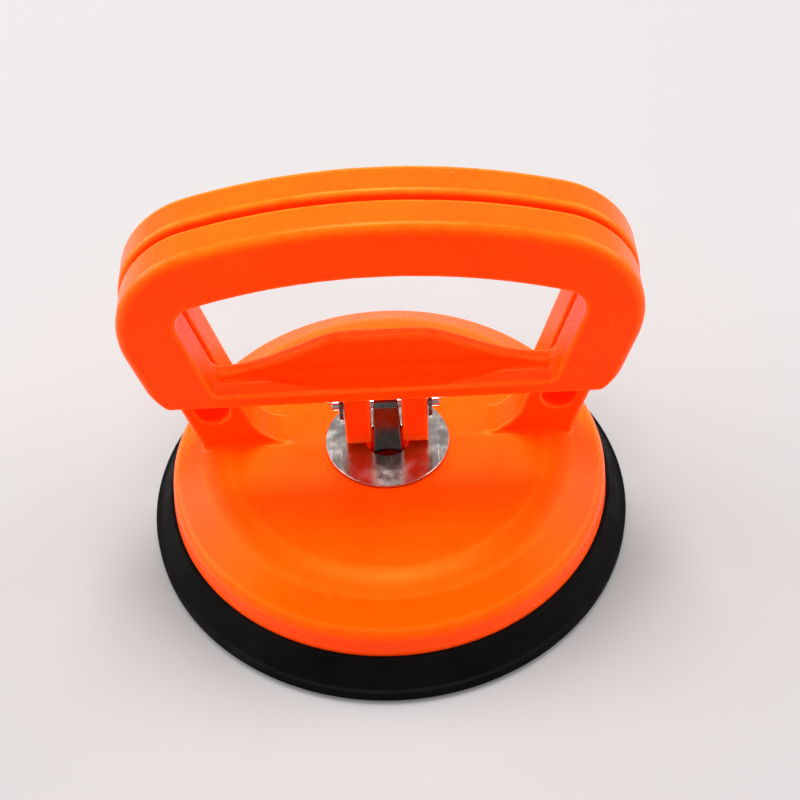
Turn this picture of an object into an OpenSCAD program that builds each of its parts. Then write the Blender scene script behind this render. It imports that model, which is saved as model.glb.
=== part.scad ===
// Lever-action vacuum suction cup.
// A rubber pad lies under a moulded body whose fixed handle stands up as a loop. A second
// loop, the lever, turns on a cross pin. Its two feet stand on a steel wear plate, and a
// strap hangs the middle of the pad from the pin, so closing the lever lifts the middle of
// the pad and makes the vacuum.
// Origin: middle of the pad's sealing face. +Z is up, the handles span X, and the lever
// swings forward, towards -Y. The lever is drawn closed.

/* [Rubber pad] */
// Outer diameter of the pad
pad_d = 118; // [114:1:122]
// Height of the pad's outer edge
pad_edge_h = 2.9; // [2.5:0.1:3.3]
// Width of the flat sealing ring
seal_w = 7; // [5:0.5:8]
// Height of the suction hollow under the middle, lever closed
hollow_h = 6; // [5.5:0.1:6.2]
// Diameter of the steel insert moulded into the pad
insert_d = 36; // [32:1:40]
// Thickness of the steel insert
insert_t = 1.5; // [1.2:0.1:1.8]

/* [Body] */
// Diameter of the dome's lower edge
dome_d = 107; // [104:1:108]
// Height of the dome's flat top
dome_top_z = 22.5; // [22:0.1:23]
// Diameter of the dome's flat top
dome_top_d = 84; // [80:1:86]
// Height of the top of the dome's steep skirt
skirt_top_z = 16.7; // [16:0.1:17.5]
// Wall thickness of the dome
dome_wall = 3; // [2.5:0.1:3.5]
// Diameter of the steel wear plate
wear_plate_d = 30; // [28:1:34]
// Thickness of the wear plate
wear_plate_t = 1; // [0.8:0.1:1.2]

/* [Handles] */
// Height of the top of the fixed handle
handle_top_z = 98.6; // [97:0.2:100]
// Radius of the arched top
arch_r = 142; // [136:2:150]
// Radius of the outer top corners
corner_r = 24; // [22:0.5:25]
// Angle that the sides lean outwards
side_lean = 15.7; // [15:0.1:16.5]
// Height of the grip band under the arched top
grip_h = 14.1; // [13.6:0.1:14.6]
// Half width of the fixed handle at mid height
fixed_half_w = 53.1; // [52.8:0.1:53.6]
// Half width of the lever at mid height
lever_half_w = 52.9; // [52.6:0.1:53.4]
// Half width of the finger window at mid height
window_half_w = 38.2; // [37.8:0.1:38.6]
// Thickness of the fixed handle, front to back
fixed_t = 8.6; // [8.2:0.1:9]
// Thickness of the lever, front to back
lever_t = 9; // [8.6:0.1:9.4]
// Gap between the lever and the fixed handle
handle_gap = 2; // [1.8:0.1:2.4]
// Wall left round the cored backs of the handles
core_wall = 3.2; // [2.8:0.1:3.4]

/* [Lever mechanism] */
// Height of the pivot pin's axis over the wear plate
pin_h = 12.7; // [12.6:0.1:12.8]
// Diameter of the pivot pin
pin_d = 2.4; // [2.3:0.1:2.6]
// Length of the pivot pin
pin_l = 25.6; // [25:0.1:26.4]
// Drop of the pin for each radian that the lever opens
drop_per_rad = 1.5; // [1.3:0.1:1.6]
// Width of each foot
foot_w = 6.15; // [6:0.05:6.3]
// Gap between the two feet
foot_gap = 7.4; // [7.2:0.1:7.6]
// Thickness of the strap
strap_t = 1.1; // [1:0.05:1.2]
// Width of the strap at its foot
strap_w = 6.8; // [6.6:0.1:7]

/* [Hidden] */

$fn = 96;
cut = 200;
orange = [1.0, 0.33, 0.02];
steel = [0.72, 0.72, 0.74];
black = [0.06, 0.06, 0.065];

// Pad
pad_r = pad_d / 2;
dome_r = dome_d / 2;
dome_edge_z = 9.8;
skirt_top_r = dome_r - 0.7;
dome_top_r = dome_top_d / 2;
pad_shoulder_r = dome_r + 0.4;
land_r = dome_r - dome_wall - 1;
boss_r = insert_d / 2 + 5;
boss_top_z = hollow_h + 6.3;
insert_z = hollow_h + 2.6;
insert_top_z = insert_z + insert_t;
insert_clear = 0.3;
well_r = 12;

// Dome and its guide for the strap
slot_half_x = 4.2;
slot_half_y = 4.9;
guide_r = 9;
guide_bottom_z = 15;
rib_t = 2;
rib_bottom_z = 15.5;
rib_outer_r = 47;
wear_hole_r = 5.4;
wear_top_z = dome_top_z + wear_plate_t;

// Handles
arch_z0 = handle_top_z - arch_r;
mid_z = 50;
lever_arch_r = arch_r - 0.5;
window_arch_r = arch_r - grip_h;
window_corner_r = 6;
corner_steps = 12;
arch_steps = 12;
root_fillet_r = 9;
lever_back_y = -0.6;
lever_front_y = lever_back_y - lever_t;
fixed_front_y = lever_back_y + handle_gap;
fixed_back_y = fixed_front_y + fixed_t;
core_depth = 5;
core_end_z = 34.4;
lever_core_end_z = 57;

// Lever bar
bar_bottom_z = 47.1;
shelf_top_z = 50.8;
web_t = 3;
web_end_z = 51.8;
web_mid_z = 61.5;
web_flat_half_x = 11;
web_foot_half_x = 32;
chamfer_x = 49.6;
chamfer_z = 51.6;

// Pin, feet and strap
pin_r = pin_d / 2;
pin_z = wear_top_z + pin_h;
bore_r = pin_r + 0.05;
foot_in_x = foot_gap / 2;
foot_out_x = foot_in_x + foot_w;
foot_front_y = -2.6;
foot_back_y = 4.5;
foot_clear = 0.05;
cam_r = pin_h - 0.2;
strap_r = bore_r + strap_t;
strap_spread_y = 4.15;
strap_foot_y = 10;
strap_top_w = 5.6;
clip_t = 0.8;
clip_r = 3.8;
groove_r = 0.85;
clip_x = foot_out_x + 0.25;
pin_chamfer = 0.3;

// ---- outlines, drawn as x and height ----

// Middle of the round corner between the arched top and a leaning side
function corner_centre(arch, half_w, corner) =
    let (
        across = half_w * cos(side_lean) - (mid_z - arch_z0) * sin(side_lean) - corner,
        along = sqrt(pow(arch - corner, 2) - pow(across, 2))
    )
    [
        across * cos(side_lean) + along * sin(side_lean),
        arch_z0 - across * sin(side_lean) + along * cos(side_lean)
    ];

// x of a leaning side at height z
function side_x(half_w, z) = half_w + (z - mid_z) * tan(side_lean);

// Points of an arc about a centre, from one angle to another
function arc(centre, radius, from, to, steps) = [
    for (i = [0 : steps])
        centre + radius * [cos(from + (to - from) * i / steps), sin(from + (to - from) * i / steps)]
];

function mirrored(path) = [for (point = path) [-point.x, point.y]];

function reversed(path) = [for (i = [len(path) - 1 : -1 : 0]) path[i]];

// Right half of a handle's top, from the foot of the round corner almost to the middle
function arch_half(arch, half_w, corner) =
    let (
        centre = corner_centre(arch, half_w, corner),
        join_angle = atan2(centre.y - arch_z0, centre.x),
        top = arc([0, arch_z0], arch, join_angle, 90, arch_steps)
    )
    concat(
        arc(centre, corner, -side_lean, join_angle, corner_steps),
        [for (i = [1 : arch_steps - 1]) top[i]]
    );

// Closed shape under the arched top, between the leaning sides and above bottom_z
module arch_outline(arch, half_w, corner, bottom_z) {
    half = concat([[side_x(half_w, bottom_z), bottom_z]], arch_half(arch, half_w, corner));
    polygon(concat(half, [[0, arch_z0 + arch]], reversed(mirrored(half))));
}

// Round fillet where the fixed handle's inner side runs into the dome's top
module root_fillet() {
    centre_z = dome_top_z + root_fillet_r;
    centre_x = side_x(window_half_w, centre_z) - root_fillet_r / cos(side_lean);
    curve = arc([centre_x, centre_z], root_fillet_r, -84, -side_lean, corner_steps);
    end_z = curve[corner_steps].y;
    polygon(concat(curve, [
        [side_x(window_half_w, end_z) + 1, end_z],
        [side_x(window_half_w, dome_top_z) + 1, dome_top_z - 1],
        [curve[0].x, dome_top_z - 1]
    ]));
}

// Cored channel of a handle: the band less its walls, with a round end on each side
module core_outline(arch, half_w, end_z) {
    wall_x = core_wall / cos(side_lean);
    outer = half_w - wall_x;
    inner = window_half_w + wall_x;
    end_r = (outer - inner) / 2 * cos(side_lean);
    end = [side_x((outer + inner) / 2, end_z), end_z];
    outside = concat(
        arc(end, end_r, -180 - side_lean, -side_lean, 2 * corner_steps),
        arch_half(arch - core_wall, outer, corner_r - core_wall)
    );
    inside = arch_half(window_arch_r + core_wall, inner, window_corner_r + core_wall);
    polygon(concat(
        outside, [[0, arch_z0 + arch - core_wall]], reversed(mirrored(outside)),
        mirrored(inside), [[0, arch_z0 + window_arch_r + core_wall]], reversed(inside)
    ));
}

// Extrudes an outline drawn as x and height from back_y forwards to front_y
module standing(front_y, back_y) {
    translate([0, back_y, 0])
        rotate([90, 0, 0])
            linear_extrude(height = back_y - front_y)
                children();
}

// Extrudes an outline drawn as y and height from x_low to x_high
module crosswise(x_low, x_high) {
    translate([x_low, 0, 0])
        rotate([90, 0, 90])
            linear_extrude(height = x_high - x_low)
                children();
}

// ---- rubber pad and its insert ----

module pad_profile() {
    ring_in_r = pad_r - seal_w - 0.5;
    difference() {
        polygon([
            [0, 0], [pad_r - 0.5, 0], [pad_r, 0.5], [pad_r, pad_edge_h - 0.3],
            [pad_r - 0.4, pad_edge_h], [pad_shoulder_r, dome_edge_z], [land_r, dome_edge_z],
            [land_r - 4, dome_edge_z - 2], [boss_r + 3, hollow_h + 3.5],
            [boss_r, boss_top_z - 0.8], [boss_r - 0.8, boss_top_z], [0, boss_top_z]
        ]);
        // the suction hollow under the middle
        polygon([[-1, -1], [ring_in_r, -1], [ring_in_r, 0], [boss_r + 2, hollow_h], [-1, hollow_h]]);
    }
}

module rubber_pad() color(black) difference() {
    rotate_extrude()
        pad_profile();
    // seat of the steel insert and the well over it
    translate([0, 0, insert_z - 0.05])
        cylinder(r = insert_d / 2 + insert_clear, h = insert_t + 0.1);
    translate([0, 0, insert_z])
        cylinder(r = well_r, h = cut);
}

module insert_plate() color(steel)
    translate([0, 0, insert_z])
        cylinder(d = insert_d, h = insert_t);

// ---- body: dome and fixed handle in one moulding ----

module dome_profile(inset) {
    slope = atan2(dome_top_z - skirt_top_z, skirt_top_r - dome_top_r);
    polygon([
        [0, dome_edge_z - inset], [dome_r - inset, dome_edge_z - inset],
        [skirt_top_r - inset, skirt_top_z - inset * tan(45 - slope / 2)],
        [dome_top_r - inset * tan(slope / 2), dome_top_z - inset], [0, dome_top_z - inset]
    ]);
}

// Space under the dome's wall, around the strap's guide and its ribs
module dome_hollow() {
    difference() {
        rotate_extrude($fn = 180)
            dome_profile(dome_wall);
        translate([0, 0, guide_bottom_z])
            cylinder(r = guide_r, h = dome_top_z);
        intersection() {
            for (turn = [0 : 45 : 135])
                rotate(turn)
                    translate([-cut / 2, -rib_t / 2, rib_bottom_z])
                        cube([cut, rib_t, dome_top_z]);
            cylinder(r = rib_outer_r, h = dome_top_z);
        }
    }
}

module fixed_handle() {
    standing(fixed_front_y, fixed_back_y) {
        difference() {
            arch_outline(arch_r, fixed_half_w, corner_r, dome_top_z - 4);
            arch_outline(window_arch_r, window_half_w, window_corner_r, dome_top_z - 5);
        }
        for (side = [0, 1])
            mirror([side, 0])
                root_fillet();
    }
}

module body_shell() color(orange) difference() {
    union() {
        rotate_extrude($fn = 180)
            dome_profile(0);
        fixed_handle();
    }
    dome_hollow();
    standing(fixed_front_y - 1, fixed_front_y + core_depth)
        core_outline(arch_r, fixed_half_w, core_end_z);
    translate([-slot_half_x, -slot_half_y, 0])
        cube([2 * slot_half_x, 2 * slot_half_y, dome_top_z + 1]);
}

module wear_plate() color(steel)
    rotate_extrude()
        polygon([
            [wear_hole_r, dome_top_z], [wear_plate_d / 2, dome_top_z],
            [wear_plate_d / 2, wear_top_z - 0.3], [wear_plate_d / 2 - 0.3, wear_top_z],
            [wear_hole_r + 0.2, wear_top_z], [wear_hole_r, wear_top_z - 0.2]
        ]);

// ---- link that lifts the pad: strap, pin and clips ----

// One side of the strap's section, drawn as y and height: its bend round the pin, then its
// leg down to height bottom_z
function strap_side(radius, spread, bottom_z) = concat(
    [for (turn = [0 : 15 : 90]) [radius * sin(turn), pin_z + radius * cos(turn)]],
    [[spread, wear_top_z], [spread, bottom_z]]
);

// Half of the strap's section, from the middle of the bend to the end of one welded foot
function strap_half() =
    let (
        outside = strap_side(strap_r, strap_spread_y, insert_top_z + strap_t),
        inside = strap_side(bore_r, strap_spread_y - strap_t, insert_top_z),
        last = len(inside) - 1
    )
    concat(
        outside,
        [[strap_foot_y, insert_top_z + strap_t], [strap_foot_y, insert_top_z]],
        [for (i = [last : -1 : 0]) inside[i]]
    );

module pull_strap() color(steel) intersection() {
    half = strap_half();
    last = len(half) - 1;
    crosswise(-strap_w / 2, strap_w / 2)
        polygon(concat(half, [for (i = [last - 1 : -1 : 1]) [-half[i].x, half[i].y]]));
    // the strip narrows from the wear plate up to the pin
    standing(-cut, cut)
        polygon([
            [-strap_w / 2, 0], [strap_w / 2, 0], [strap_w / 2, wear_top_z],
            [strap_top_w / 2, pin_z], [strap_top_w / 2, pin_z + 10],
            [-strap_top_w / 2, pin_z + 10], [-strap_top_w / 2, pin_z], [-strap_w / 2, wear_top_z]
        ]);
}

module pin_profile() {
    polygon([
        [0, 0], [pin_r, 0], [pin_r, clip_x - 0.05], [groove_r, clip_x - 0.05],
        [groove_r, clip_x + clip_t + 0.05], [pin_r, clip_x + clip_t + 0.05],
        [pin_r, pin_l / 2 - pin_chamfer], [pin_r - pin_chamfer, pin_l / 2], [0, pin_l / 2]
    ]);
}

module pivot_pin() color(steel)
    for (side = [0, 1])
        mirror([side, 0, 0])
            translate([0, 0, pin_z])
                rotate([0, 90, 0])
                    rotate_extrude()
                        pin_profile();

// E-shaped snap ring in the pin's groove, open at the bottom
module retaining_clip() {
    crosswise(clip_x, clip_x + clip_t)
        translate([0, pin_z])
            difference() {
                circle(r = clip_r);
                circle(r = groove_r + 0.05);
                translate([-0.7, -clip_r - 1])
                    square([1.4, clip_r + 1]);
            }
}

module retaining_clip_left() color(steel)
    mirror([1, 0, 0])
        retaining_clip();

module retaining_clip_right() color(steel)
    retaining_clip();

// ---- lever ----

module lever_outline() {
    corner = [chamfer_x, bar_bottom_z];
    rise = [side_x(lever_half_w, chamfer_z), chamfer_z] - corner;
    low = corner - rise;
    high = corner + 2 * rise;
    difference() {
        arch_outline(lever_arch_r, lever_half_w, corner_r, bar_bottom_z);
        arch_outline(window_arch_r, window_half_w, window_corner_r, shelf_top_z);
        for (side = [0, 1])
            mirror([side, 0])
                polygon([low, high, [cut / 2, high.y], [cut / 2, low.y]]);
    }
}

// Upright web behind the shelf of the lever's lower bar, raised in the middle
module web_outline() {
    polygon([
        [-window_half_w - 1, shelf_top_z - 1], [window_half_w + 1, shelf_top_z - 1],
        [window_half_w + 1, web_end_z], [web_foot_half_x, web_end_z],
        [web_flat_half_x, web_mid_z], [-web_flat_half_x, web_mid_z],
        [-web_foot_half_x, web_end_z], [-window_half_w - 1, web_end_z]
    ]);
}

// A foot drawn as y and height. Its underside is an arc that rolls off the wear plate, so
// the pin drops evenly as the lever opens.
module foot_outline() {
    sole_z = wear_top_z + foot_clear;
    intersection() {
        polygon([
            [foot_front_y, sole_z + 1.8], [foot_front_y + 1.3, sole_z], [foot_back_y, sole_z],
            [foot_back_y, pin_z + 3], [lever_back_y - 0.3, bar_bottom_z + 1],
            [foot_front_y, bar_bottom_z + 1]
        ]);
        union() {
            translate([drop_per_rad, sole_z + cam_r])
                circle(r = cam_r, $fn = 180);
            translate([drop_per_rad, 0])
                square([cut, cut]);
            translate([-cut, sole_z + cam_r])
                square([2 * cut, cut]);
        }
    }
}

module lever_handle() color(orange) difference() {
    union() {
        standing(lever_front_y, lever_back_y)
            lever_outline();
        standing(lever_back_y - web_t, lever_back_y)
            web_outline();
        for (side = [0, 1])
            mirror([side, 0, 0])
                crosswise(foot_in_x, foot_out_x)
                    foot_outline();
    }
    standing(lever_back_y - core_depth, lever_back_y + 1)
        core_outline(lever_arch_r, lever_half_w, lever_core_end_z);
    translate([-cut / 2, 0, pin_z])
        rotate([0, 90, 0])
            cylinder(r = bore_r, h = cut);
}

rubber_pad();
insert_plate();
body_shell();
wear_plate();
pull_strap();
pivot_pin();
retaining_clip_left();
retaining_clip_right();
lever_handle();
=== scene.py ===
"""Vacuum suction cup with a fixed loop handle and a hinged lever, built round the CAD frame.

The two plastic mouldings are distance fields, in millimetres, so that every fillet and rounded
edge is real geometry. Surface nets turn them into meshes. The round parts are lathed and the
strap is swept. Every piece but the pad rides on its CAD body.
"""
import math

import bpy
import numpy as np
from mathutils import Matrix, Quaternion, Vector


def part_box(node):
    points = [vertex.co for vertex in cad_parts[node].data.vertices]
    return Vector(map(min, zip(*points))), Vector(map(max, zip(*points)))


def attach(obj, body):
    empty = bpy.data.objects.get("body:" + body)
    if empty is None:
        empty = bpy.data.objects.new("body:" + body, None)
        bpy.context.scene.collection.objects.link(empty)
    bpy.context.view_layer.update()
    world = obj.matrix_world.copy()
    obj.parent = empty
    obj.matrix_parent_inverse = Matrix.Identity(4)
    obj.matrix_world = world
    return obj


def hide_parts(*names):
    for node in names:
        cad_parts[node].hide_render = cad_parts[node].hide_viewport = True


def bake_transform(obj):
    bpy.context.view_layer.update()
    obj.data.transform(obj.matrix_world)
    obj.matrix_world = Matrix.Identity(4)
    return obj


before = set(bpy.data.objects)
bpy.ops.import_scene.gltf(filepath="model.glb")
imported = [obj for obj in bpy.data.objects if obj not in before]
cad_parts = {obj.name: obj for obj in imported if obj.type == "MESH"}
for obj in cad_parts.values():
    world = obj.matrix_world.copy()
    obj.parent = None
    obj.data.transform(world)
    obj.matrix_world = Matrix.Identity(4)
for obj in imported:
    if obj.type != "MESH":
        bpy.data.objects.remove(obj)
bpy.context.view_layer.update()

MM = 0.001


# ---- sizes in millimetres, from the frame where a node's box gives them ----

def box_mm(node):
    """Lowest and highest corner of a CAD node, in millimetres."""
    low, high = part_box(node)
    return np.array(low) / MM, np.array(high) / MM


PAD_HIGH = box_mm("rubber_pad")[1]
INSERT_LOW, INSERT_HIGH = box_mm("insert_plate")
SHELL_LOW, SHELL_HIGH = box_mm("body_shell")
WEAR_LOW, WEAR_HIGH = box_mm("wear_plate")
STRAP_LOW, STRAP_HIGH = box_mm("pull_strap")
PIN_LOW, PIN_HIGH = box_mm("pivot_pin")
CLIP_LOW, CLIP_HIGH = box_mm("retaining_clip_right")
LEVER_LOW, LEVER_HIGH = box_mm("lever_handle")

# dome
DOME_BOTTOM = SHELL_LOW[2]
DOME_TOP = WEAR_LOW[2]
DOME_R = 53.5
DOME_TOP_R = 42.0
SKIRT_TOP_Z = 16.7
SKIRT_TOP_R = 52.8
SKIRT_LEAN = math.atan2(DOME_R - SKIRT_TOP_R, SKIRT_TOP_Z - DOME_BOTTOM)
FLANK_SLOPE = math.atan2(DOME_TOP - SKIRT_TOP_Z, SKIRT_TOP_R - DOME_TOP_R)
DOME_WALL = 3.0
GUIDE_R = 9.0
GUIDE_BOTTOM = 15.0
RIB_OUTER_R = 47.0
RIB_HALF_T = 1.0
SLOT_HALF_X = 4.2
SLOT_HALF_Y = 4.9

# handles
ARCH_R = 142.0
ARCH_Z0 = SHELL_HIGH[2] - ARCH_R
LEVER_ARCH_R = LEVER_HIGH[2] - ARCH_Z0
LEAN = math.radians(15.7)
MID_Z = 50.0
WINDOW_ARCH_R = ARCH_R - 14.1
CORNER_R = 24.0
WINDOW_CORNER_R = 6.0
WINDOW_HALF_W = 38.2
FIXED_HALF_W = 53.1
LEVER_HALF_W = 52.9
FIXED_FRONT_Y = 1.4
FIXED_BACK_Y = 10.0
LEVER_FRONT_Y = LEVER_LOW[1]
LEVER_BACK_Y = -0.6
CORE_WALL = 3.2
CORE_DEPTH = 5.0
FIXED_CORE_END_Z = 34.4
LEVER_CORE_END_Z = 57.0
ROOT_FILLET = 9.0

# lever bar, feet and pin
BAR_BOTTOM = 47.1
SHELF_TOP = 50.8
CHAMFER_X = 49.6
CHAMFER_LEAN = math.atan2(3.75, 4.5)
WEB_T = 3.0
WEB_TOP = 61.5
WEB_END = 51.8
WEB_SLOPE = math.atan2(9.7, 21)
WEB_HALF_X = 39.2
WEB_FLAT_HALF_X = 11.0
PIN_Z = (PIN_LOW[2] + PIN_HIGH[2]) / 2
PIN_R = (PIN_HIGH[2] - PIN_LOW[2]) / 2
BORE_R = PIN_R + 0.05
SOLE_Z = WEAR_HIGH[2] + 0.05
SOLE_R = PIN_Z - WEAR_HIGH[2] - 0.2
SOLE_Y = 1.5
FOOT_X = (3.7, 9.85)
FOOT_Y = (-2.6, 4.5)
HEEL_Z = PIN_Z + 3
TOE_Z = SOLE_Z + 1.8

# clips on the pin
CLIP_RING_R = 2.3
CLIP_GRIP_R = 0.95
CLIP_TONGUE_HALF_W = 0.8


# ---- distance fields: negative inside, in millimetres ----

def meet(a, b, edge):
    """Inside both a and b, with the edge between them rounded."""
    return np.minimum(-edge, np.maximum(a, b)) + np.hypot(
        np.maximum(edge + a, 0), np.maximum(edge + b, 0)
    )


def join(a, b, fillet):
    """Inside a or b, with a fillet where they meet."""
    return -meet(-a, -b, fillet)


def carve(a, b, edge):
    """Inside a but not b, with a rounded rim."""
    return meet(a, -b, edge)


def between(v, low, high):
    """Inside the space between two planes."""
    return np.abs(v - (low + high) / 2) - (high - low) / 2


def arch_field(x, z, arch_r, half_w, corner):
    """Under the arched top and between the two leaning sides, with round top corners."""
    x = np.abs(x)
    cos, sin = math.cos(LEAN), math.sin(LEAN)
    side = (x - half_w) * cos - (z - MID_Z) * sin
    roof = np.hypot(x, z - ARCH_Z0) - arch_r
    across = half_w * cos - (MID_Z - ARCH_Z0) * sin - corner
    along = math.sqrt((arch_r - corner) ** 2 - across**2)
    centre_x = across * cos + along * sin
    rise = along * cos - across * sin
    dx = x - centre_x
    dz = z - ARCH_Z0 - rise
    in_corner = (cos * dz + sin * dx > 0) & (dx * rise - dz * centre_x > 0)
    return np.where(in_corner, np.hypot(dx, dz) - corner, np.maximum(side, roof))


def core_field(x, z, arch_r, half_w, end_z):
    """The cored channel in a handle's band, with a round end on each side."""
    cos, sin = math.cos(LEAN), math.sin(LEAN)
    outer = half_w - CORE_WALL / cos
    inner = WINDOW_HALF_W + CORE_WALL / cos
    around = arch_field(x, z, arch_r - CORE_WALL, outer, CORNER_R - CORE_WALL)
    inside = arch_field(x, z, WINDOW_ARCH_R + CORE_WALL, inner, WINDOW_CORNER_R + CORE_WALL)
    channel = np.maximum(around, -inside)
    dx = np.abs(x) - (outer + inner) / 2 - (end_z - MID_Z) * math.tan(LEAN)
    dz = z - end_z
    end = np.hypot(dx, dz) - (outer - inner) / 2 * cos
    return np.where(dx * sin + dz * cos < 0, end, channel)


def lever_field(x, y, z):
    """The lever: loop, shelf, web and two feet in one moulding."""
    wide = np.abs(x)
    outline = arch_field(x, z, LEVER_ARCH_R, LEVER_HALF_W, CORNER_R)
    outline = meet(outline, LEVER_FRONT_Y - y, 2.2)
    outline = meet(outline, BAR_BOTTOM - z, 0.5)
    chamfer = (wide - CHAMFER_X) * math.cos(CHAMFER_LEAN)
    chamfer = chamfer - (z - BAR_BOTTOM) * math.sin(CHAMFER_LEAN)
    outline = meet(outline, chamfer, 0.8)
    window = arch_field(x, z, WINDOW_ARCH_R, WINDOW_HALF_W, WINDOW_CORNER_R)
    window = meet(window, SHELF_TOP - z, 1.5)
    loop = carve(outline, window, 0.6)

    slope = (z - WEB_TOP) * math.cos(WEB_SLOPE) + (wide - WEB_FLAT_HALF_X) * math.sin(WEB_SLOPE)
    web = join(meet(z - WEB_TOP, slope, 1.5), z - WEB_END, 3.0)
    web = meet(web, LEVER_BACK_Y - WEB_T - y, 0.6)
    web = np.maximum(np.maximum(web, wide - WEB_HALF_X), BAR_BOTTOM + 1 - z)
    lever = meet(join(loop, web, 2.0), y - LEVER_BACK_Y, 0.35)

    sole = np.hypot(np.minimum(y - SOLE_Y, 0), np.minimum(z - SOLE_Z - SOLE_R, 0)) - SOLE_R
    heel = (y - FOOT_Y[1]) * 0.88 + (z - HEEL_Z) * 0.475
    toe = (FOOT_Y[0] - y) * 0.81 + (TOE_Z - z) * 0.585
    foot = meet(meet(between(y, *FOOT_Y), sole, 0.4), heel, 1.5)
    foot = meet(foot, toe, 0.6)
    foot = meet(foot, between(wide, *FOOT_X), 0.45)
    foot = np.maximum(foot, z - BAR_BOTTOM - 1)
    lever = join(lever, foot, 0.9)

    core = core_field(x, z, LEVER_ARCH_R, LEVER_HALF_W, LEVER_CORE_END_Z)
    core = np.maximum(core, LEVER_BACK_Y - CORE_DEPTH - y)
    lever = carve(lever, core, 0.35)
    return carve(lever, np.hypot(y, z - PIN_Z) - BORE_R, 0.2)


def shell_field(x, y, z):
    """The body: hollow dome with its guide and ribs, and the fixed handle, in one moulding."""
    r = np.hypot(x, y)
    skirt = (r - DOME_R) * math.cos(SKIRT_LEAN) + (z - DOME_BOTTOM) * math.sin(SKIRT_LEAN)
    flank = (r - DOME_TOP_R) * math.sin(FLANK_SLOPE) + (z - DOME_TOP) * math.cos(FLANK_SLOPE)
    outer = meet(meet(skirt, flank, 1.5), z - DOME_TOP, 2.0)
    outer = meet(outer, DOME_BOTTOM - z, 0.3)
    hollow = np.maximum(np.maximum(skirt, flank), z - DOME_TOP) + DOME_WALL
    cross = np.minimum(np.abs(x), np.abs(y))
    diagonal = np.minimum(np.abs(x - y), np.abs(x + y)) / math.sqrt(2)
    ribs = np.minimum(cross, diagonal) - RIB_HALF_T
    ribs = np.maximum(np.maximum(ribs, r - RIB_OUTER_R), GUIDE_BOTTOM + 0.5 - z)
    guide = np.maximum(r - GUIDE_R, GUIDE_BOTTOM - z)
    hollow = carve(hollow, join(ribs, guide, 0.6), 0.5)

    outline = arch_field(x, z, ARCH_R, FIXED_HALF_W, CORNER_R)
    outline = meet(outline, FIXED_FRONT_Y - y, 1.2)
    window = arch_field(x, z, WINDOW_ARCH_R, WINDOW_HALF_W, WINDOW_CORNER_R)
    window = meet(window, DOME_TOP - 0.8 - z, ROOT_FILLET)
    handle = carve(meet(outline, y - FIXED_BACK_Y, 0.35), window, 0.5)
    core = core_field(x, z, ARCH_R, FIXED_HALF_W, FIXED_CORE_END_Z)
    core = np.maximum(core, y - FIXED_FRONT_Y - CORE_DEPTH)
    handle = np.maximum(carve(handle, core, 0.35), DOME_TOP - 4 - z)
    shell = carve(join(outer, handle, 1.2), hollow, 0.3)
    slot = meet(np.abs(x) - SLOT_HALF_X, np.abs(y) - SLOT_HALF_Y, 0.6)
    return carve(shell, np.maximum(slot, z - DOME_TOP - 2), 0.3)


def clip_field(x, y, z):
    """A snap ring that grips the pin's groove with three tongues, open at the bottom."""
    middle = (CLIP_LOW + CLIP_HIGH) / 2
    y = y - middle[1]
    z = z - middle[2]
    r = np.hypot(y, z)
    outer_r = (CLIP_HIGH[2] - CLIP_LOW[2]) / 2
    ring = np.maximum(r - outer_r, CLIP_RING_R - r)
    tongue = np.maximum(np.abs(y) - CLIP_TONGUE_HALF_W, -z)
    side = np.maximum(np.abs(z + 0.35) - 0.75, -np.abs(y))
    tongues = np.maximum(np.minimum(tongue, side), r - CLIP_RING_R - 0.3)
    grip = np.maximum(tongues, CLIP_GRIP_R - r)
    flat = join(ring, grip, 0.25)
    flat = carve(flat, np.maximum(np.abs(y) - CLIP_GRIP_R, z), 0.3)
    return meet(flat, between(x, CLIP_LOW[0], CLIP_HIGH[0]), 0.15)


# ---- meshes ----

def gradient(field, points, step):
    """Slope of a field at points, by central differences."""
    slopes = []
    for axis in range(3):
        shift = np.zeros(3)
        shift[axis] = step
        ahead = field(*(points + shift).T)
        behind = field(*(points - shift).T)
        slopes.append((ahead - behind) / (2 * step))
    return np.stack(slopes, 1)


def bend_of(field, points, step):
    """How sharply a field's surface turns at points: above 0 on an edge, below 0 in a corner."""
    total = -6 * field(*points.T)
    for axis in range(3):
        shift = np.zeros(3)
        shift[axis] = step
        total += field(*(points + shift).T) + field(*(points - shift).T)
    return total / step**2


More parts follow.
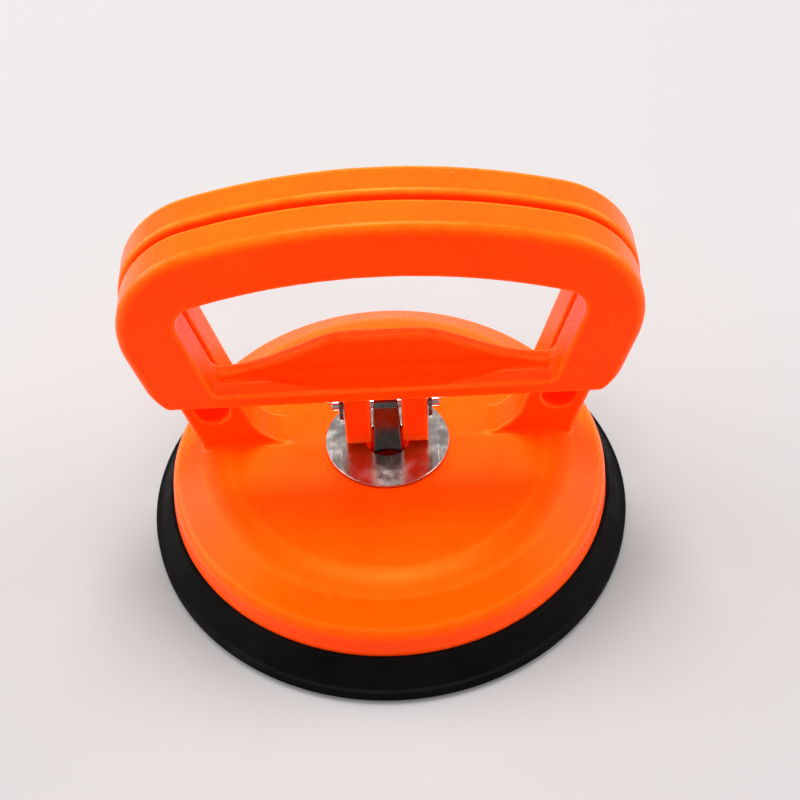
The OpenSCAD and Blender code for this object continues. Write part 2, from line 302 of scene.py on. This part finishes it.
def surface_net(field, low, high, cell):
    """Points and four-sided faces of a field's zero surface, on a regular grid.

    Each cell's point lies where the flat pieces of surface on the cell's edges meet, so that
    straight edges stay straight.
    """
    axes = [np.arange(a - 2 * cell, b + 3 * cell, cell) for a, b in zip(low, high)]
    start = np.array([a[0] for a in axes])
    counts = [len(a) for a in axes]
    values = np.broadcast_to(field(*np.meshgrid(*axes, indexing="ij", sparse=True)), counts)
    crossings = []
    rings = []
    for axis in range(3):
        u, v = (axis + 1) % 3, (axis + 2) % 3
        first = np.take(values, range(counts[axis] - 1), axis)
        second = np.take(values, range(1, counts[axis]), axis)
        at = np.argwhere((first < 0) != (second < 0))
        inside = first[tuple(at.T)]
        outside = second[tuple(at.T)]
        crossing = at.astype(float)
        crossing[:, axis] += inside / (inside - outside)
        crossings.append(crossing * cell + start)
        ring = []
        for du, dv in ((1, 1), (0, 1), (0, 0), (1, 0)):
            cell_at = at.copy()
            cell_at[:, u] -= du
            cell_at[:, v] -= dv
            ring.append(np.ravel_multi_index(cell_at.T, counts))
        quads = np.stack(ring, 1)
        flipped = inside >= 0
        quads[flipped] = quads[flipped][:, ::-1]
        rings.append(quads)
    crossing = np.concatenate(crossings)
    used, faces = np.unique(np.concatenate(rings), return_inverse=True)
    faces = faces.reshape(-1, 4)

    def per_cell(value):
        return np.bincount(faces.ravel(), np.repeat(value, 4), len(used))

    normal = gradient(field, crossing, 0.02)
    normal /= np.maximum(np.linalg.norm(normal, axis=1), 1e-6)[:, None]
    offset = (normal * crossing).sum(1)
    hits = per_cell(np.ones(len(crossing)))
    middle = np.stack([per_cell(place) / hits for place in crossing.T], 1)
    pull = np.stack([per_cell(offset * across) for across in normal.T], 1)
    spread = np.stack([[per_cell(a * b) for a in normal.T] for b in normal.T]).transpose(2, 0, 1)
    pull -= np.einsum("nij,nj->ni", spread, middle)
    shift = np.linalg.solve(spread + 0.05 * np.eye(3), pull[:, :, None])[:, :, 0]
    corner = start + np.stack(np.unravel_index(used, counts), 1) * cell
    return np.clip(middle + shift, corner, corner + cell), faces


def mesh_object(name, points, faces):
    """A smooth-shaded mesh object from points in millimetres."""
    mesh = bpy.data.meshes.new(name)
    mesh.from_pydata((np.asarray(points) * MM).tolist(), [], faces)
    mesh.polygons.foreach_set("use_smooth", np.ones(len(mesh.polygons), bool))
    mesh.update()
    obj = bpy.data.objects.new(name, mesh)
    bpy.context.scene.collection.objects.link(obj)
    return obj


def flatten_flats(mesh):
    """Weights the normals by face area, so that a flat face stays flat beside a round edge."""
    faces = len(mesh.polygons)
    normals = np.empty(faces * 3)
    areas = np.empty(faces)
    sides = np.empty(faces, np.int32)
    corners = np.empty(len(mesh.loops), np.int32)
    mesh.polygons.foreach_get("normal", normals)
    mesh.polygons.foreach_get("area", areas)
    mesh.polygons.foreach_get("loop_total", sides)
    mesh.loops.foreach_get("vertex_index", corners)
    weighted = np.repeat(normals.reshape(-1, 3) * areas[:, None], sides, 0)
    total = np.zeros((len(mesh.vertices), 3))
    np.add.at(total, corners, weighted)
    total /= np.linalg.norm(total, axis=1)[:, None]
    mesh.normals_split_custom_set_from_vertices(total.tolist())


def moulding(name, field, low, high, cell):
    """Meshes a field, and slides each point onto the true surface, which also gives its normal."""
    points, faces = surface_net(field, low, high, cell)
    for _ in range(2):
        slope = gradient(field, points, 0.02)
        steep = np.maximum((slope**2).sum(1), 0.2)
        step = slope * (field(*points.T) / steep)[:, None]
        points -= np.clip(step, -cell / 2, cell / 2)
    obj = mesh_object(name, points, faces.tolist())
    slope = gradient(field, points, 0.1)
    slope /= np.maximum(np.linalg.norm(slope, axis=1), 1e-6)[:, None]
    obj.data.normals_split_custom_set_from_vertices(slope.tolist())
    edge = obj.data.attributes.new("edge", "FLOAT", "POINT")
    bend = np.clip(bend_of(field, points, 0.5) * 0.6, -1, 1)
    edge.data.foreach_set("value", bend.astype(np.float32))
    return obj


def rounded(corners, steps=6):
    """An outline whose corners, given as (across, up, radius), are turned into arcs."""
    corners = np.array(corners, float)
    outline = []
    for i, (across, up, radius) in enumerate(corners):
        here = np.array([across, up])
        if radius == 0:
            outline.append(here)
            continue
        back = corners[i - 1, :2] - here
        ahead = corners[(i + 1) % len(corners), :2] - here
        back /= np.linalg.norm(back)
        ahead /= np.linalg.norm(ahead)
        half = math.acos(back @ ahead) / 2
        middle = (back + ahead) / np.linalg.norm(back + ahead)
        centre = here + middle * radius / math.sin(half)
        first = here + back * radius / math.tan(half) - centre
        last = here + ahead * radius / math.tan(half) - centre
        turn = math.pi - 2 * half
        for t in np.linspace(0, turn, steps + 1):
            outline.append(centre + (first * math.sin(turn - t) + last * math.sin(t)) / math.sin(turn))
    return np.array(outline)


def lathe(name, outline, turns, crosswise_at=None):
    """Turns an outline of (radius, height), drawn anticlockwise, round the Z axis.

    With crosswise_at, the axis is instead parallel to X at that height above the floor.
    """
    around = np.linspace(0, 2 * math.pi, turns, endpoint=False)
    points = []
    rows = []
    for radius, height in outline:
        if radius < 1e-6:
            rows.append([len(points)] * turns)
            points.append((0, 0, height))
        else:
            rows.append(list(range(len(points), len(points) + turns)))
            points += [(radius * math.cos(a), radius * math.sin(a), height) for a in around]
    pairs = list(zip(rows, rows[1:]))
    if outline[0][0] > 0:
        pairs.append((rows[-1], rows[0]))
    faces = []
    for low, high in pairs:
        for i in range(turns):
            j = (i + 1) % turns
            faces.append(list(dict.fromkeys((low[i], low[j], high[j], high[i]))))
    points = np.array(points)
    if crosswise_at is not None:
        points = points[:, [2, 0, 1]] + (0, 0, crosswise_at)
    obj = mesh_object(name, points, [f for f in faces if len(f) > 2])
    flatten_flats(obj.data)
    return obj


def sweep(name, path, half_widths, thick, edge):
    """A strip along a path of (y, z), with rounded long edges and flat ends."""
    ahead = np.gradient(path, axis=0)
    ahead /= np.linalg.norm(ahead, axis=1)[:, None]
    outward = np.stack([ahead[:, 1], -ahead[:, 0]], 1)
    points = []
    for at, out, half in zip(path, outward, half_widths):
        low, high = -thick / 2, thick / 2
        section = rounded(
            [(half, low, edge), (half, high, edge), (-half, high, edge), (-half, low, edge)]
        )
        for across, up in section:
            y, z = at + out * up
            points.append((across, y, z))
    n = len(section)
    faces = [list(range(n))[::-1]]
    for i in range(len(path) - 1):
        for k in range(n):
            j = (k + 1) % n
            faces.append([i * n + k, i * n + j, (i + 1) * n + j, (i + 1) * n + k])
    faces.append(list(range(len(points) - n, len(points))))
    obj = mesh_object(name, points, faces)
    flatten_flats(obj.data)
    return obj


# ---- materials ----

class Surface:
    """A procedural material under construction, in the object's own coordinates."""

    def __init__(self, name, roughness, metallic=0.0, shine=0.5):
        self.material = bpy.data.materials.new(name)
        self.material.use_nodes = True
        self.nodes = self.material.node_tree.nodes
        self.shader = self.nodes["Principled BSDF"]
        self.shader.inputs["Roughness"].default_value = roughness
        self.shader.inputs["Metallic"].default_value = metallic
        self.shader.inputs["Specular IOR Level"].default_value = shine
        self.place = self.nodes.new("ShaderNodeTexCoord").outputs["Object"]
        self.relief = None

    def link(self, source, socket):
        self.material.node_tree.links.new(source, socket)

    def noise(self, size_mm, detail=2.0, stretch=(1, 1, 1)):
        """Noise with features of that size, drawn out along an axis where stretch is below 1."""
        mapping = self.nodes.new("ShaderNodeMapping")
        mapping.inputs["Scale"].default_value = stretch
        node = self.nodes.new("ShaderNodeTexNoise")
        node.inputs["Scale"].default_value = 1 / (size_mm * MM)
        node.inputs["Detail"].default_value = detail
        self.link(self.place, mapping.inputs["Vector"])
        self.link(mapping.outputs["Vector"], node.inputs["Vector"])
        return node.outputs["Fac"]

    def cells(self, size_mm):
        """Distance to the nearest of scattered points, about that size apart."""
        node = self.nodes.new("ShaderNodeTexVoronoi")
        node.inputs["Scale"].default_value = 1 / (size_mm * MM)
        self.link(self.place, node.inputs["Vector"])
        return node.outputs["Distance"]

    def attribute(self, name):
        node = self.nodes.new("ShaderNodeAttribute")
        node.attribute_name = name
        return node.outputs["Fac"]

    def ramp(self, value, low, high, to_low=0.0, to_high=1.0):
        """Maps value from low..high to to_low..to_high, without going past either end."""
        node = self.nodes.new("ShaderNodeMapRange")
        node.inputs["From Min"].default_value = low
        node.inputs["From Max"].default_value = high
        node.inputs["To Min"].default_value = to_low
        node.inputs["To Max"].default_value = to_high
        self.link(value, node.inputs["Value"])
        return node.outputs["Result"]

    def combine(self, operation, a, b):
        node = self.nodes.new("ShaderNodeMath")
        node.operation = operation
        for socket, value in zip(node.inputs, (a, b)):
            if isinstance(value, (int, float)):
                socket.default_value = value
            else:
                self.link(value, socket)
        return node.outputs["Value"]

    def tint(self, factor, a, b):
        """Colour a where factor is 0 and b where it is 1."""
        node = self.nodes.new("ShaderNodeMix")
        node.data_type = "RGBA"
        self.link(factor, node.inputs["Factor"])
        for socket, value in zip(node.inputs[6:8], (a, b)):
            if isinstance(value, tuple):
                socket.default_value = (*value, 1)
            else:
                self.link(value, socket)
        return node.outputs[2]

    def emboss(self, height, depth_mm):
        """Adds a relief of that depth to the ones before it."""
        node = self.nodes.new("ShaderNodeBump")
        node.inputs["Distance"].default_value = depth_mm * MM
        self.link(height, node.inputs["Height"])
        if self.relief:
            self.link(self.relief, node.inputs["Normal"])
        self.relief = node.outputs["Normal"]

    def done(self, colour, roughness):
        self.link(colour, self.shader.inputs["Base Color"])
        self.link(roughness, self.shader.inputs["Roughness"])
        if self.relief:
            self.link(self.relief, self.shader.inputs["Normal"])
        return self.material


def orange_plastic():
    """Moulded orange with a soft sheen, faint scuffs and dust, a painted highlight and some wear on its
    edges, painted shade in its inner corners and a painted red glow.
    """
    s = Surface("orange_plastic", 0.35, shine=0.2)
    s.shader.inputs["Specular Tint"].default_value = (1.0, 0.42, 0.03, 1)
    tone = s.tint(s.ramp(s.noise(22, 3), 0.35, 0.65), (1.0, 0.066, 0.0), (1.0, 0.076, 0.0))
    edge = s.attribute("edge")
    patches = s.ramp(s.noise(3, 3), 0.25, 0.5, 0.4, 1)
    # Convex edges are lightened: a painted highlight, partly edge wear.
    edge_highlight_and_wear = s.combine("MULTIPLY", s.ramp(edge, 0.06, 0.5, 0, 0.45), patches)
    tone = s.tint(edge_highlight_and_wear, tone, (1.0, 0.19, 0.012))
    # Inner corners are darkened toward deep red: painted shade.
    tone = s.tint(s.ramp(edge, -0.15, -0.9, 0, 0.4), tone, (0.8, 0.05, 0.0))
    scuffs = s.ramp(s.noise(1.2, 2, (1, 1, 0.08)), 0.66, 0.74, 0, 0.12)
    specks = s.ramp(s.cells(2.6), 0.05, 0.03, 0, 0.3)
    tone = s.tint(s.combine("MAXIMUM", scuffs, specks), tone, (1.0, 0.2, 0.04))
    rough = s.combine("ADD", s.ramp(s.noise(6, 4), 0.3, 0.7, 0.24, 0.34), scuffs)
    s.emboss(s.noise(0.5, 2), 0.006)
    s.emboss(s.noise(9, 1), 0.03)
    s.shader.inputs["Subsurface Weight"].default_value = 0.25
    s.shader.inputs["Subsurface Radius"].default_value = (1.0, 0.15, 0.0)
    s.shader.inputs["Subsurface Scale"].default_value = 2.5 * MM
    # A faint red glow lifts the orange where it is in shade: painted light.
    s.shader.inputs["Emission Color"].default_value = (1.0, 0.008, 0.0, 1)
    s.shader.inputs["Emission Strength"].default_value = 0.3
    return s.done(tone, rough)


def black_rubber():
    """Matt black rubber with a bloom of dust and a fine sanded grain."""
    s = Surface("black_rubber", 0.7, shine=0.03)
    tone = s.tint(s.ramp(s.noise(14, 4), 0.35, 0.7), (0.0025, 0.0022, 0.002), (0.005, 0.0044, 0.004))
    patches = s.ramp(s.noise(8, 3), 0.42, 0.6, 0, 0.4)
    dust = s.combine("MULTIPLY", s.ramp(s.noise(0.35, 2), 0.6, 0.78), patches)
    specks = s.ramp(s.cells(3.1), 0.045, 0.03, 0, 0.5)
    tone = s.tint(s.combine("MAXIMUM", dust, specks), tone, (0.03, 0.028, 0.026))
    rough = s.ramp(s.noise(5, 4), 0.3, 0.7, 0.52, 0.72)
    s.emboss(s.noise(0.3, 2), 0.012)
    s.emboss(s.noise(4, 2), 0.03)
    return s.done(tone, rough)


def polished_steel(name, dull, bright):
    """Pressed steel between two tones, tumbled, with small pits and a trace of haze."""
    s = Surface(name, 0.2, 1.0)
    tone = s.tint(s.ramp(s.noise(5, 3), 0.35, 0.65), dull, bright)
    pits = s.combine("MULTIPLY", s.ramp(s.cells(0.6), 0.25, 0.1), s.ramp(s.noise(2.5, 2), 0.4, 0.55))
    tone = s.tint(pits, tone, tuple(0.6 * part for part in dull))
    haze = s.ramp(s.noise(3, 4), 0.35, 0.7, 0.1, 0.26)
    scratches = s.ramp(s.noise(0.5, 2, (1, 0.04, 1)), 0.62, 0.72, 0, 0.12)
    s.emboss(s.noise(0.35, 3), 0.01)
    s.emboss(s.noise(5, 1), 0.01)
    return s.done(tone, s.combine("ADD", haze, scratches))


def bright_steel():
    """Drawn steel wire with fine turning marks round it."""
    s = Surface("bright_steel", 0.22, 1.0)
    tone = s.tint(s.ramp(s.noise(1.5, 3), 0.35, 0.65), (0.3, 0.29, 0.28), (0.44, 0.43, 0.42))
    rough = s.ramp(s.noise(0.3, 2, (1, 0.1, 0.1)), 0.3, 0.7, 0.14, 0.32)
    s.emboss(s.noise(0.25, 2, (1, 0.1, 0.1)), 0.003)
    return s.done(tone, rough)


def dark_steel():
    """Oil-blackened spring steel, worn bright in spots."""
    s = Surface("dark_steel", 0.35, 1.0)
    worn = s.ramp(s.noise(0.7, 3), 0.56, 0.68)
    tone = s.tint(worn, (0.09, 0.085, 0.085), (0.42, 0.40, 0.39))
    rough = s.ramp(s.noise(0.4, 3), 0.3, 0.7, 0.26, 0.46)
    s.emboss(s.noise(0.3, 2), 0.006)
    return s.done(tone, rough)


def studio_floor():
    """Pale paper sweep with a barely visible tooth."""
    s = Surface("studio_floor", 0.8)
    tone = s.tint(s.ramp(s.noise(120, 2), 0.3, 0.7), (0.286, 0.276, 0.274), (0.296, 0.285, 0.283))
    s.emboss(s.noise(0.8, 2), 0.01)
    return s.done(tone, s.ramp(s.noise(30, 2), 0.3, 0.7, 0.75, 0.85))


# ---- the pieces ----

def finish_piece(obj, node, body, material):
    """Gives a piece its material, its body and the CAD node it stands for."""
    obj.data.materials.append(material)
    if body:
        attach(obj, body)
    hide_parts(node)


def bend_by_radius(obj):
    """Bakes the piece's placement into its points and reads the points out; it does not bend the piece.
    """
    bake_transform(obj)
    places = np.empty(len(obj.data.vertices) * 3)
    obj.data.vertices.foreach_get("co", places)


def rubber_pad():
    """Round pad: sealing ring, suction hollow, boss with a seat for the insert, and a well."""
    rim = PAD_HIGH[0]
    boss_top = PAD_HIGH[2]
    seat_r = INSERT_HIGH[0] + 0.3
    return lathe("rubber_pad_soft", rounded([
        (0, 6, 0), (25, 6, 8), (51.5, 0, 1.5), (rim, 0, 0.5), (rim, 2.9, 0.45), (rim - 1, 3.1, 0.5),
        (54.4, DOME_BOTTOM, 0.4), (49.5, DOME_BOTTOM, 0.3), (45.5, 7, 2), (26, 9.5, 2),
        (23, 11.5, 1), (22.2, boss_top, 0.6), (12, boss_top, 0.4), (12, INSERT_HIGH[2] + 0.05, 0),
        (seat_r, INSERT_HIGH[2] + 0.05, 0), (seat_r, INSERT_LOW[2] - 0.05, 0),
        (0, INSERT_LOW[2] - 0.05, 0),
    ]), 256)


def insert_plate():
    """Steel disc moulded into the pad, with a rolled edge."""
    r = INSERT_HIGH[0]
    low, high = INSERT_LOW[2], INSERT_HIGH[2]
    outline = rounded([(0, low, 0), (r, low, 0.4), (r, high, 0.4), (0, high, 0)])
    return lathe("steel_insert", outline, 128)


def wear_plate():
    """Polished steel washer that the lever's feet stand on, with a blanked edge."""
    hole, rim = 5.4, WEAR_HIGH[0]
    low, high = WEAR_LOW[2], WEAR_HIGH[2]
    return lathe("wear_washer", rounded([
        (hole, low, 0.1), (rim, low, 0.1), (rim, high, 0.15), (hole, high, 0.2),
    ]), 192)


def pull_strap():
    """Steel strap bent over the pin, down through the body and out to two welded feet."""
    thick = 1.1
    bend_r = BORE_R + thick / 2
    side_y = 4.15 - thick / 2
    foot_z = INSERT_HIGH[2] + thick / 2
    rise = PIN_Z - WEAR_HIGH[2]
    lean = math.atan2(side_y, rise) - math.asin(bend_r / math.hypot(side_y, rise))
    apex_z = PIN_Z + bend_r / math.sin(lean)
    path = rounded([
        (STRAP_LOW[1], foot_z, 0), (-side_y, foot_z, 1.3), (-side_y, WEAR_HIGH[2], 12),
        (0, apex_z, bend_r),
        (side_y, WEAR_HIGH[2], 12), (side_y, foot_z, 1.3), (STRAP_HIGH[1], foot_z, 0),
    ], 24)
    half_widths = np.interp(path[:, 1], (WEAR_HIGH[2], PIN_Z), (3.4, 2.8))
    return sweep("bent_strap", path, half_widths, thick, 0.5)


def pivot_pin():
    """Cross pin with a groove for each clip and small centre dimples in its ends."""
    half = PIN_HIGH[0]
    near, far = CLIP_LOW[0] - 0.05, CLIP_HIGH[0] + 0.05
    side = [
        (PIN_R, near, 0.08), (0.85, near, 0.08), (0.85, far, 0.08), (PIN_R, far, 0.1),
        (PIN_R, half - 0.3, 0.2), (PIN_R - 0.3, half, 0.12), (0.6, half, 0.1), (0, half - 0.4, 0),
    ]
    mirrored = [(radius, -height, edge) for radius, height, edge in side[::-1]]
    return lathe("cross_pin", rounded(mirrored + side, 4), 48, crosswise_at=PIN_Z)


def retaining_clip(name, side):
    """A clip on one end of the pin: side is 1 on the right and -1 on the left."""
    low, high = box_mm("retaining_clip_right" if side > 0 else "retaining_clip_left")
    return moulding(name, lambda x, y, z: clip_field(side * x, y, z), low, high, 0.1)


ORANGE = orange_plastic()
RUBBER = black_rubber()
STEEL = polished_steel("polished_steel", (0.36, 0.31, 0.29), (0.48, 0.43, 0.4))
# The strap's steel gets dull, dark tones: a painted dark reflection.
STRAP_STEEL_DARK_REFLECTION = polished_steel("strap_steel_dark_reflection", (0.09, 0.085, 0.08), (0.16, 0.15, 0.14))
PIN_STEEL = bright_steel()
CLIP_STEEL = dark_steel()

shell = moulding("body_moulding", shell_field, SHELL_LOW, SHELL_HIGH, 0.72)
finish_piece(shell, "body_shell", "cup", ORANGE)
lever = moulding("lever_moulding", lever_field, LEVER_LOW, LEVER_HIGH, 0.5)
finish_piece(lever, "lever_handle", "lever", ORANGE)
finish_piece(wear_plate(), "wear_plate", "cup", STEEL)
finish_piece(insert_plate(), "insert_plate", "pull_link", STEEL)
finish_piece(pull_strap(), "pull_strap", "pull_link", STRAP_STEEL_DARK_REFLECTION)
finish_piece(pivot_pin(), "pivot_pin", "pull_link", PIN_STEEL)
for clip_side, clip_name in ((-1, "left"), (1, "right")):
    clip = retaining_clip("snap_ring_" + clip_name, clip_side)
    finish_piece(clip, "retaining_clip_" + clip_name, "pull_link", CLIP_STEEL)
pad = rubber_pad()
finish_piece(pad, "rubber_pad", None, RUBBER)
bend_by_radius(pad)


# ---- floor, light and camera ----

def studio():
    """A pale floor under a softbox, with wider ones low on the left and on the right."""
    half = 3.0
    floor = mesh_object(
        "floor", np.array([(-half, -half, 0), (half, -half, 0), (half, half, 0), (-half, half, 0)]) / MM,
        [[0, 1, 2, 3]],
    )
    floor.data.materials.append(studio_floor())

    world = bpy.data.worlds.new("room")
    world.use_nodes = True
    world.node_tree.nodes["Background"].inputs["Color"].default_value = (0.98, 0.98, 1.0, 1)
    world.node_tree.nodes["Background"].inputs["Strength"].default_value = 0.54
    bpy.context.scene.world = world

    for name, place, size, power in (
        ("overhead", (0.0, 0.35, 1.04), 0.45, 16.0),
        ("left_fill", (-0.95, 0.2, 0.55), 0.9, 15.5),
        ("right_fill", (0.95, 0.15, 0.6), 0.9, 12.0),
    ):
        light = bpy.data.lights.new(name, "AREA")
        light.size = size
        light.energy = power
        lamp = bpy.data.objects.new(name, light)
        lamp.location = place
        lamp.rotation_euler = (-Vector(place)).to_track_quat("-Z", "Y").to_euler()
        bpy.context.scene.collection.objects.link(lamp)


def camera():
    """The photograph's view: from the front, well above, with the horizon tipped a little."""
    elevation, turn, roll = math.radians(46.82), math.radians(-0.34), math.radians(-2.51)
    target = Vector((3.54, 15.87, 20.0)) * MM
    back = Vector((
        math.sin(turn) * math.cos(elevation), -math.cos(turn) * math.cos(elevation), math.sin(elevation)
    ))
    lens = bpy.data.cameras.new("camera")
    lens.lens = 67.5
    lens.sensor_width = 36.0
    lens.clip_start = 0.01
    obj = bpy.data.objects.new("camera", lens)
    obj.location = target + back * 377.36 * MM
    obj.rotation_mode = "QUATERNION"
    obj.rotation_quaternion = (-back).to_track_quat("-Z", "Y") @ Quaternion((0, 0, 1), roll)
    bpy.context.scene.collection.objects.link(obj)
    bpy.context.scene.camera = obj


studio()
camera()
bpy.context.scene.view_settings.view_transform = "Standard"
